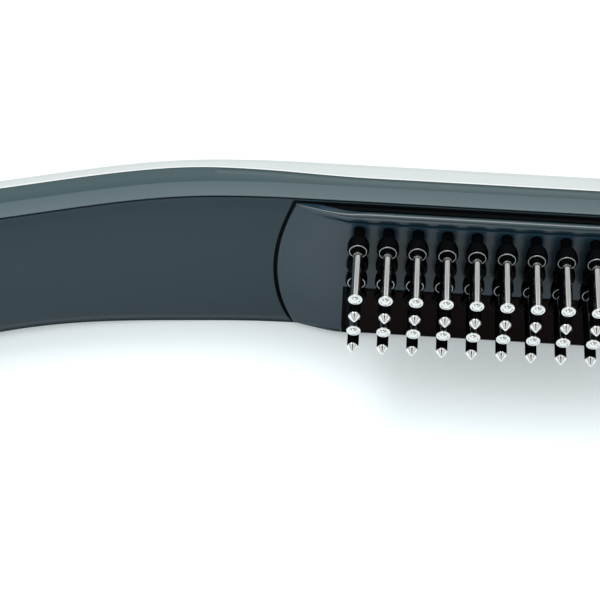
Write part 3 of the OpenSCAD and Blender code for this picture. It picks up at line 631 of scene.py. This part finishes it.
def row_at(row):
    """Where a row of teeth stands across the head, rows 1 to 4 from the back."""
    return HEAD_H / 2 - ROW_EDGE - (row - 1) * ROW_PITCH


def tooth_bores(finish, steps=20):
    """One mesh of round bars, one for each tooth, for cutting."""
    points, faces = [], []
    for row in (1, 2, 3, 4):
        for tooth in range(TOOTH_COUNT):
            x, w, first = FIRST_TOOTH + tooth * TOOTH_PITCH, row_at(row), len(points)
            for n in FACE_CUT_NS:
                points += [placed(x + dx, n, w + dw) for dx, dw in round_plan(PIN_R + PIN_GAP, steps)]
            faces.append(tuple(range(first, first + steps)))
            faces.append(tuple(range(first + 2 * steps - 1, first + steps - 1, -1)))
            for j in range(steps):
                k = (j + 1) % steps
                faces.append((first + j, first + k, first + k + steps, first + j + steps))
    return tidy_surface(plain_mesh("tooth_bores", points, faces, finish))


cover_finish = moulded(
    "head_blue_grey", (0.011, 0.028, 0.042), 0.28, size=3600, depth=0.05, drift=0.08, coat=0.15, level=0.3
)
bead_finish = moulded("polished_bead", (0.018, 0.036, 0.042), 0.1, size=3600, depth=0.02, coat=0.2)
inner_insets = (HEAD_H / 2, 14, 12, 10, 8, 6, 4, 2, 1.2, COVER_WALL)
inner = [cover_loop((inset, COVER_WALL + 0.2), (inset, COVER_WALL + 0.2)) for inset in inner_insets]
outer = outer_loops()
bead_start = len(inner) + 2
bead_bands = range(bead_start, bead_start + POLISHED_BANDS)


def whole_face(name, finish):
    """The head's whole face with its bead and tooth holes, before it is parted round the window."""
    skin = loft(name, inner + outer, finish, "open", bead_bands)
    skin.data.materials.append(bead_finish)
    for face in skin.data.polygons:
        if ramp_share(face.center.x * 1000 + MID_X, BEAD_RAMP, BEAD_ENDS) < 0.01:
            face.material_index = 0
    cut(skin, tooth_bores(finish))
    return skin


def cut_face(piece, name, zone, way="DIFFERENCE"):
    """Cuts a rectangle straight through the face, given by its x from and to and its w from and to."""
    plan = [(zone[0], zone[2]), (zone[1], zone[2]), (zone[1], zone[3]), (zone[0], zone[3])]
    loops = [[placed(x, n, w) for x, w in plan] for n in FACE_CUT_NS]
    cut(piece, loft(name, loops, piece.data.materials[0], "caps"), way)


WINDOW_END, ROW_TO_WINDOW, INLAY_EDGE = 14.0, 3.92, 0.9
WINDOW_TOP = row_at(4) - ROW_TO_WINDOW
inlay_from, inlay_to = FIRST_X + WINDOW_END - INLAY_EDGE, LAST_X - WINDOW_END + INLAY_EDGE
inlay_top = WINDOW_TOP + INLAY_EDGE
head_cover = whole_face("head_cover_face", cover_finish)
cut_face(head_cover, "inlay_zone", (inlay_from, inlay_to, -HALF_W, inlay_top))
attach(head_cover, "comb_head")
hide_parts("head_cover")


# Black inlay: the lower half of the face is a glossy black inlay that frames the dark window; its black out
# to the lower edge is painted shade for the shade the teeth throw there.
# It wraps over the cover's lower edge and is clipped in with it.
INLAY_GAP, WINDOW_EDGE, PANE_GAP = 0.04, 1.4, 0.05
WINDOW_LOW = -HEAD_H / 2 + WINDOW_EDGE
black_gloss = moulded(
    "black_gloss", (0.0008, 0.001, 0.0014), 0.26, size=2500, depth=0.05, drift=0.2, level=0.02
)
# A sheet of black painted shade over the lower face, round the window.
shade_inlay = whole_face("laser_bezel", black_gloss)
inlay = (inlay_from + INLAY_GAP, inlay_to - INLAY_GAP, -HALF_W, inlay_top - INLAY_GAP)
cut_face(shade_inlay, "inlay_keep", inlay, "INTERSECT")
pane_from, pane_to = FIRST_X + WINDOW_END - PANE_GAP, LAST_X - WINDOW_END + PANE_GAP
cut_face(shade_inlay, "pane_opening", (pane_from, pane_to, WINDOW_LOW - PANE_GAP, WINDOW_TOP + PANE_GAP))
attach(shade_inlay, "comb_head")
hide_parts("head_cover")


# Bell collars: the black roots of the metal rods in rows 1 and 3, a stub that opens into a bell.
# They are turned profiles in glossy black plastic, repeated along the head and pressed over the rods.
ROD_R, FIT_GAP, BELL_R, BELL_MOUTH, STUB_L, FOOT_GAP = 0.87, 0.05, 2.1, 5.4, 2.1, 0.4
FOOT = FACE_N - SKIN_N - FOOT_GAP
BORE_R = ROD_R + FIT_GAP
METAL_ROWS, BLACK_ROWS = (1, 3), (2, 4)


def turned(name, profile, steps, finish, closed=False):
    """A turned piece about the tooth's own axis, pointing to -Y, from radius and distance in mm."""
    points, faces, rows = [], [], []
    for radius, reach in profile:
        if radius == 0:
            rows.append([len(points)])
            points.append((0, -reach / 1000, 0))
            continue
        rows.append(list(range(len(points), len(points) + steps)))
        for k in range(steps):
            a = 2 * math.pi * k / steps
            points.append((radius * math.cos(a) / 1000, -reach / 1000, radius * math.sin(a) / 1000))
    pairs = list(zip(rows, rows[1:])) + ([(rows[-1], rows[0])] if closed else [])
    for low, high in pairs:
        for k in range(steps):
            m = (k + 1) % steps
            corner = [low[k % len(low)], low[m % len(low)], high[m % len(high)], high[k % len(high)]]
            faces.append(tuple(dict.fromkeys(corner)))
    return tidy_surface(plain_mesh(name, points, faces, finish), 28)


def arc(centre_r, centre_d, radius, start, stop, steps):
    """Points of a rounded corner in a turned profile, angles in degrees."""
    turns = [math.radians(start + (stop - start) * k / steps) for k in range(steps + 1)]
    return [(centre_r + radius * math.cos(a), centre_d + radius * math.sin(a)) for a in turns]


def tooth_row_tree():
    """Repeats one tooth piece in a straight row and gives it its finish."""
    takes = (
        ("Geometry", "Geometry", None),
        ("Count", "Int", None),
        ("Pitch", "Float", None),
        ("Start", "Vector", None),
        ("Tooth", "Object", None),
        ("Finish", "Material", None),
    )
    tree, take, give = new_group("tooth_row", "GeometryNodeTree", takes, (("Geometry", "Geometry"),))
    step = new_node(tree, "ShaderNodeCombineXYZ", {"X": take["Pitch"]})
    places = {"Count": take["Count"], "Start Location": take["Start"], "Offset": step.outputs[0]}
    line = new_node(tree, "GeometryNodeMeshLine", places, mode="OFFSET")
    tooth = new_node(tree, "GeometryNodeObjectInfo", {"Object": take["Tooth"]})
    spread = {"Points": line.outputs["Mesh"], "Instance": tooth.outputs["Geometry"]}
    teeth = new_node(tree, "GeometryNodeInstanceOnPoints", spread)
    whole = new_node(tree, "GeometryNodeRealizeInstances", {0: teeth.outputs[0]})
    paint = {"Geometry": whole.outputs[0], "Material": take["Finish"]}
    feed(tree, give, {"Geometry": new_node(tree, "GeometryNodeSetMaterial", paint).outputs[0]})
    return tree


row_tree = tooth_row_tree()


def tooth_rows(title, rows, pattern, finish, node):
    """Rows of one tooth piece, each made into a plain mesh that stands for its CAD node."""
    for row in rows:
        holder = plain_mesh(f"{title}_row_{row}", [(0, 0, 0)], [], finish)
        step = holder.modifiers.new("row", "NODES")
        step.node_group = row_tree
        start = tuple(placed(FIRST_TOOTH, -FACE_N, row_at(row)))
        values = {"Count": TOOTH_COUNT, "Pitch": TOOTH_PITCH / 1000, "Start": start}
        values.update({"Tooth": pattern, "Finish": finish})
        for item in row_tree.interface.items_tree:
            if item.name in values:
                step[item.identifier] = values[item.name]
        bake_modifiers(holder)
        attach(holder, "comb_head")
        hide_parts(f"{node}_row_{row}")
    bpy.data.objects.remove(pattern)


bell_flank = [(PIN_R, -FOOT), (PIN_R, STUB_L - 0.1), (1.16, 2.14), (1.33, 2.3), (1.6, 2.58), (1.8, 2.9)]
bell_flank += [(1.97, 3.4), (2.07, 3.95), (BELL_R, 4.3), (BELL_R, 5.12)]
bell_flank += arc(BELL_R - 0.24, 5.16, 0.24, 0, 90, 5) + [(1.76, BELL_MOUTH)]
bell_mouth = [(1.42, BELL_MOUTH), (1.4, 5.2), (1.34, 5.2), (BORE_R + 0.4, 5.42)]
bell_mouth += [(BORE_R + 0.17, 5.82), (BORE_R + 0.1, 5.9), (BORE_R, 5.9)]
bell = turned("bell_pattern", [(BORE_R, -FOOT)] + bell_flank + bell_mouth, 40, black_gloss, closed=True)
tooth_rows("bell_collars", METAL_ROWS, bell, black_gloss, "collars")


# Collar rings: a smoked metal ring pressed into the mouth of each bell.
# It is turned with rounded edges and stands slightly proud.
def turned_metal(name, tone, rough):
    """A polished metal with the faint marks of turning."""
    return moulded(name, tone, rough, size=1800, depth=0.03, drift=0.08, metal=1.0)


dark_metal = turned_metal("smoked_metal", (0.30, 0.31, 0.31), 0.2)
ring_profile = [(1.45, BELL_MOUTH), (1.72, BELL_MOUTH)]
ring_profile += arc(1.64, 5.52, 0.08, 0, 90, 3) + arc(1.53, 5.52, 0.08, 90, 180, 3)
ring = turned("ring_pattern", ring_profile, 40, dark_metal, closed=True)
tooth_rows("bell_rings", METAL_ROWS, ring, dark_metal, "collar_rings")


# Metal rods: the polished stems of the teeth in rows 1 and 3, pressed into the tooth block.
# They are drawn bar with a short flare under the button.
rod_metal = turned_metal("rod_metal", (0.78, 0.79, 0.78), 0.11)
rod_profile = [(0, -FOOT), (ROD_R, -FOOT), (ROD_R, 17.15), (0.95, 17.3), (0, 17.3)]
rod = turned("rod_pattern", rod_profile, 32, rod_metal)
tooth_rows("metal_rods", METAL_ROWS, rod, rod_metal, "rods")


# Rod buttons: the round tops of the metal rods, a rim with a low dome in it.
# They are turned in one with the rods from the same metal; a darker copy of that metal on them is painted
# shade that dims their reflections.
BUTTON_R = 1.35
# A darker copy of the rod metal: painted shade on the domes.
shaded_button_metal = turned_metal("shaded_button_metal", (0.60, 0.61, 0.60), 0.13)
button_profile = [(0, 17.3), (0.95, 17.3), (1.2, 17.38)]
button_profile += arc(BUTTON_R - 0.16, 17.64, 0.16, -60, 78, 7) + [(1.12, 17.82), (1.05, 17.79), (0.98, 17.8)]
button_profile += arc(0, 17.212, 1.128, 32.6, 83, 8) + [(0, 18.34)]
button = turned("button_pattern", button_profile, 32, shaded_button_metal)
tooth_rows("rod_buttons", METAL_ROWS, button, shaded_button_metal, "rods")


# Black pins: the teeth of rows 2 and 4, straight pins that are moulded in one with their bells.
# Glossy black plastic, set into the tooth block.
TOOTH_LEN, PIN_EDGE = 17.8, 0.06
pin_profile = [(0, -FOOT)] + bell_flank + [(1.4, BELL_MOUTH), (PIN_R + PIN_EDGE, 5.84), (PIN_R, 5.9)]
pin_profile += [(PIN_R, TOOTH_LEN - PIN_EDGE), (PIN_R - PIN_EDGE, TOOTH_LEN), (0, TOOTH_LEN)]
pin = turned("pin_pattern", pin_profile, 32, black_gloss)
tooth_rows("black_pins", BLACK_ROWS, pin, black_gloss, "pins")


# Cone tips: bright metal points on the ends of the black pins, in rows 2 and 4.
# They are turned with a short collar and a rounded point, and pressed onto the pins.
tip_profile = [(0, 17.8), (1.1, 17.8), (1.14, 17.84), (1.14, 17.97), (1.11, 18.03), (0.95, 18.24)]
tip_profile += [(0.66, 18.62), (0.4, 18.98), (0.26, 19.16), (0.14, 19.26), (0, 19.3)]
chrome = turned_metal("polished_metal", (0.72, 0.73, 0.72), 0.11)
tip = turned("tip_pattern", tip_profile, 32, chrome)
tooth_rows("cone_tips", BLACK_ROWS, tip, chrome, "tips")


# Tooth block: the black base that holds all the teeth and stands in the gap round the head.
# Injection moulded in plain black plastic; its CAD shape is kept.
def dress(node, finish):
    """Gives every slot of a carried-over CAD node one finish."""
    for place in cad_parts[node].material_slots:
        place.material = finish


block_finish = moulded(
    "block_black", (0.002, 0.0025, 0.003), 0.45, size=2800, depth=0.1, drift=0.2, level=0.03
)
dress("tooth_block", block_finish)


# Head tray: the lining of the recess that the head sits in.
# Black moulded plastic with a fine matt grain, held in the body by the four case screws.
lining_finish = moulded(
    "tray_black", (0.002, 0.0025, 0.003), 0.5, size=2600, depth=0.2, drift=0.2, level=0.04
)
dress("head_tray", lining_finish)


# Laser window: a flat pane of smoked plastic over the diodes, glued in behind the black inlay.
# It looks black from outside and lets a little red through.
def two_tones(tree, share, dark, light):
    """A colour that runs from dark to light with a share."""
    tint = new_node(tree, "ShaderNodeValToRGB", {"Fac": share})
    tint.color_ramp.elements[0].color = (*dark, 1)
    tint.color_ramp.elements[1].color = (*light, 1)
    return tint.outputs["Color"]


def noise_tone(tree, scale, dark, light):
    """A colour that drifts between two tones with fine noise on the piece's own coordinates."""
    place = new_node(tree, "ShaderNodeTexCoord").outputs["Object"]
    haze = new_node(tree, "ShaderNodeTexNoise", {"Vector": place, "Scale": scale})
    return two_tones(tree, haze.outputs["Fac"], dark, light)


pane_finish, tree, base = new_finish("smoked_pane")
feed(tree, base, {"Base Color": noise_tone(tree, 260, (0.004, 0.0004, 0.0004), (0.008, 0.0007, 0.0007))})
feed(tree, base, {"Roughness": 0.06, "Transmission Weight": 0.3, "Specular IOR Level": 0.3, "IOR": 1.15})
dress("laser_window", pane_finish)


# Circuit boards: the head board carries the diodes, the main board the switches and the chips.
# They have green solder mask over copper traces, with round plated holes.
def board_pattern():
    """Masks of a circuit board: traces that run square to each other, and plated holes."""
    takes, gives = (("Scale", "Float", 500),), (("Traces", "Float"), ("Holes", "Float"))
    group, take, give = new_group("board_pattern", "ShaderNodeTree", takes, gives)
    cells = {"Vector": new_node(group, "ShaderNodeTexCoord").outputs["Object"], "Scale": take["Scale"]}
    traces = new_node(group, "ShaderNodeTexVoronoi", cells, distance="CHEBYCHEV", feature="F1")
    holes = new_node(group, "ShaderNodeTexVoronoi", cells)
    feed(group, give, {"Traces": ranged(group, traces.outputs["Distance"], 0.36, 0.40)})
    feed(group, give, {"Holes": ranged(group, holes.outputs["Distance"], 0.14, 0.12)})
    return group


def two_colours(tree, share, first, second):
    """A colour between two others, which are plain colours or another node's output."""
    mix = new_node(tree, "ShaderNodeMix", {"Factor": share, "A": first, "B": second}, data_type="RGBA")
    return mix.outputs["Result"]


pattern_group = board_pattern()


def board_finish(name, scale):
    """Green solder mask, lighter over the traces, with gold-plated holes."""
    finish, tree, base = new_finish(name)
    marks = new_node(tree, "ShaderNodeGroup", {"Scale": scale}, node_tree=pattern_group).outputs
    mask = two_colours(tree, marks["Traces"], (0.010, 0.075, 0.035, 1), (0.020, 0.130, 0.060, 1))
    plated = two_colours(tree, marks["Holes"], mask, (0.75, 0.55, 0.22, 1))
    feed(tree, base, {"Base Color": plated, "Metallic": marks["Holes"], "Roughness": 0.35})
    return finish


dress("head_board", board_finish("head_board_mask", 420))
dress("main_board", board_finish("main_board_mask", 520))


# Board chips: black packages of filled epoxy, soldered to the main board.
# Their tops have a coarse dull grain.
dress("board_chips", moulded("chip_epoxy", (0.018, 0.019, 0.021), 0.55, size=6000, depth=0.3, drift=0.25))


# Switch housings: the square black bodies of the two push switches, soldered to the main board.
# Injection moulded, a little glossier than the chips.
switch_finish = moulded("switch_black", (0.012, 0.012, 0.013), 0.38, size=3600, depth=0.1, drift=0.15)
dress("switch_housings", switch_finish)


# Switch plungers: the small moving stems of the switches, which the buttons rest on.
# Black plastic, held in the housings by their own springs.
for plunger in ("power_plunger", "mode_plunger"):
    dress(plunger, moulded("plunger_" + plunger, (0.03, 0.03, 0.032), 0.35, size=3600, depth=0.1, drift=0.15))


# Case screws: four small steel screws in the floor of the recess, which hold the head tray in the body.
# They are turned, so their fine lines run round them.
def line_grain():
    """Fine lines of turned or brushed metal, stretched along one of the object's axes."""
    takes = (
        ("Tone", "Color", (0.6, 0.6, 0.6, 1)),
        ("Stretch", "Vector", (300, 9000, 9000)),
        ("Roughness", "Float", 0.3),
    )
    gives = (("Colour", "Color"), ("Roughness", "Float"), ("Normal", "Vector"))
    group, take, give = new_group("line_grain", "ShaderNodeTree", takes, gives)
    place = new_node(group, "ShaderNodeTexCoord").outputs["Object"]
    pull = new_node(group, "ShaderNodeVectorMath", {0: place, 1: take["Stretch"]}, operation="MULTIPLY")
    lines = new_node(group, "ShaderNodeTexNoise", {"Vector": pull.outputs[0], "Scale": 1, "Detail": 3})
    swing = ranged(group, lines.outputs["Fac"], 0.0, 1.0, 0.82, 1.15)
    tint = new_node(group, "ShaderNodeVectorMath", {0: take["Tone"], "Scale": swing}, operation="SCALE")
    relief = {"Strength": 0.08, "Distance": 0.00003, "Height": lines.outputs["Fac"]}
    bump = new_node(group, "ShaderNodeBump", relief)
    rough = reckon(group, "MULTIPLY", take["Roughness"], swing)
    feed(group, give, {"Colour": tint.outputs[0], "Roughness": rough, "Normal": bump.outputs[0]})
    return group


line_group = line_grain()
ALONG, AROUND = (250, 8000, 8000), (5000, 5000, 400)


def lined_metal(name, tone, rough, stretch):
    """A metal with fine lines, along the comb or round the piece."""
    values = {"Tone": (*tone, 1), "Stretch": stretch, "Roughness": rough}
    return grained(name, line_group, values, {"Metallic": 1.0})


dress("case_screws", lined_metal("screw_steel", (0.52, 0.53, 0.54), 0.30, AROUND))


# Board screws: plated steel screws with pan heads.
# They hold the main board on the front shell's posts.
dress("board_screws", lined_metal("board_screw_steel", (0.60, 0.60, 0.60), 0.28, AROUND))


# Battery springs: coils of nickel-plated steel wire that press on the cells' flat ends.
# Each stands on a contact plate at one end of the battery tray.
dress("battery_springs", lined_metal("spring_steel", (0.62, 0.62, 0.61), 0.24, ALONG))


# Battery plates: thin pressed contact plates with a soft nickel shine, one at each end of the cells.
# They stand against the end walls of the battery tray.
dress("battery_plates", lined_metal("plate_nickel", (0.66, 0.65, 0.62), 0.22, AROUND))


# Motor can, shaft and weight: a small vibration motor in a drawn steel can.
# Its steel shaft carries an eccentric brass weight, pressed on.
dress("motor_can", lined_metal("can_steel", (0.63, 0.64, 0.65), 0.22, ALONG))
dress("motor_shaft", lined_metal("shaft_steel", (0.58, 0.58, 0.59), 0.18, ALONG))
dress("eccentric_weight", lined_metal("weight_brass", (0.62, 0.46, 0.20), 0.30, ALONG))


# Magnets: nickel-plated discs that hold the lift-off head, two in the body and two in the head.
# They are glued in place where they face each other through the recess's floor.
dress("body_magnets", lined_metal("body_magnet_nickel", (0.70, 0.70, 0.69), 0.14, AROUND))
dress("head_magnets", lined_metal("head_magnet_nickel", (0.70, 0.70, 0.69), 0.14, AROUND))


# Contact pins: four gold-plated sprung pins that carry current into the head.
# They stand on the contact block, pass through the recess's floor and press on the head board.
dress("contact_pins", lined_metal("contact_gold", (0.83, 0.62, 0.28), 0.16, AROUND))


# Laser diodes: small round cans with a pale gold plating, soldered to the head board.
# They stand in a row behind the window.
dress("laser_diodes", lined_metal("diode_can", (0.72, 0.58, 0.30), 0.20, AROUND))


# Laser lenses: small red plastic lenses pressed into the diodes.
# The red is slightly cloudy and lets about half of the light through.
lens_finish, tree, base = new_finish("red_lens")
feed(tree, base, {"Base Color": noise_tone(tree, 700, (0.35, 0.01, 0.01), (0.65, 0.03, 0.02))})
feed(tree, base, {"Roughness": 0.08, "Transmission Weight": 0.5})
dress("laser_lenses", lens_finish)


# Contact block: the black moulding that carries the sprung contact pins.
# It is fixed behind the head tray's floor.
dress("contact_block", moulded("contact_black", (0.008, 0.008, 0.009), 0.42, depth=0.12, drift=0.2))


# Motor cradle: an open black moulding that the motor's can lies in.
# It is fixed behind the head tray's floor.
dress("motor_cradle", moulded("cradle_black", (0.010, 0.010, 0.011), 0.45, drift=0.2))


# Battery tray: the black trough that holds the two cells side by side, on two feet in the handle.
# Its matt moulded grain is coarser than that of the shells.
tray_finish = moulded("battery_tray_black", (0.010, 0.011, 0.012), 0.45, size=2600, depth=0.2, drift=0.2)
dress("battery_tray", tray_finish)


# Battery cells: two AAA cells in a plain blue-grey sleeve with a pale grey band at one end.
# The band runs round the cell, so it is set by the place along the cell's own axis.
CELL_N, BAND_FROM, BAND_TO = 8, 0.0118, 0.0120
cell_turn = CELL_S / ARCH_R
cell_axis = (math.cos(cell_turn), math.sin(cell_turn), 0)
cell_middle = on_arch(CELL_S, 0, CELL_N, 0).dot(Vector(cell_axis))
cell_finish, tree, base = new_finish("cell_sleeve")
place = new_node(tree, "ShaderNodeTexCoord").outputs["Object"]
along = new_node(tree, "ShaderNodeVectorMath", {0: place, 1: cell_axis}, operation="DOT_PRODUCT")
band = ranged(tree, along.outputs["Value"], cell_middle + BAND_FROM, cell_middle + BAND_TO)
sleeve = two_colours(tree, band, (0.10, 0.17, 0.22, 1), (0.58, 0.60, 0.61, 1))
feed(tree, base, {"Base Color": sleeve, "Metallic": band, "Roughness": 0.25})
dress("battery_cells", cell_finish)


# Cell pad: a strip of dark foam that keeps the cells from rattling.
# It is glued inside the battery cover, and its open pores show as dents.
pad_finish, tree, base = new_finish("pad_foam")
place = new_node(tree, "ShaderNodeTexCoord").outputs["Object"]
pores = new_node(tree, "ShaderNodeTexVoronoi", {"Vector": place, "Scale": 2600}).outputs["Distance"]
dent = new_node(tree, "ShaderNodeBump", {"Strength": 0.5, "Distance": 0.0001, "Height": pores})
foam = two_tones(tree, pores, (0.015, 0.015, 0.016), (0.05, 0.05, 0.052))
feed(tree, base, {"Base Color": foam, "Normal": dent.outputs[0], "Roughness": 0.95})
dress("cell_pad", pad_finish)


# Lead wires: thin stranded wires in red and black insulation, soldered at both ends.
# The upper wires are red and the lower ones black.
BLACK_BELOW, RED_ABOVE = 0.0179, 0.0181
wire_finish, tree, base = new_finish("wire_insulation")
place = new_node(tree, "ShaderNodeTexCoord").outputs["Object"]
level = new_node(tree, "ShaderNodeSeparateXYZ", {0: place}).outputs["Z"]
upper = ranged(tree, level, BLACK_BELOW, RED_ABOVE)
skin = two_colours(tree, upper, (0.015, 0.015, 0.016, 1), (0.45, 0.012, 0.012, 1))
feed(tree, base, {"Base Color": skin, "Roughness": 0.42})
dress("lead_wires", wire_finish)


# Status light pipe: a clear plastic rod that carries the light out to the back cover.
# It is pushed into its hole and stands over the LED.
pipe_finish = moulded("clear_pipe", (0.86, 0.93, 0.96), 0.12, depth=0.03, drift=0.04, clear=0.85)
dress("status_light_pipe", pipe_finish)


# Status LED: a small white diode on the main board, under the light pipe.
# Its body is pale moulded resin with a clear skin.
dress("status_led", moulded("led_body", (0.82, 0.80, 0.66), 0.3, size=4000, depth=0.05, coat=0.4))


# Buttons: power and mode, silver plastic caps that press through the back cover.
# They are a little brighter and glossier than the cover, and rest on their plungers.
button_finish = moulded(
    "button_silver", (0.60, 0.63, 0.64), 0.22, size=4600, depth=0.04, drift=0.05, coat=0.5, metal=0.5
)
dress("power_button", button_finish)
dress("mode_button", button_finish)
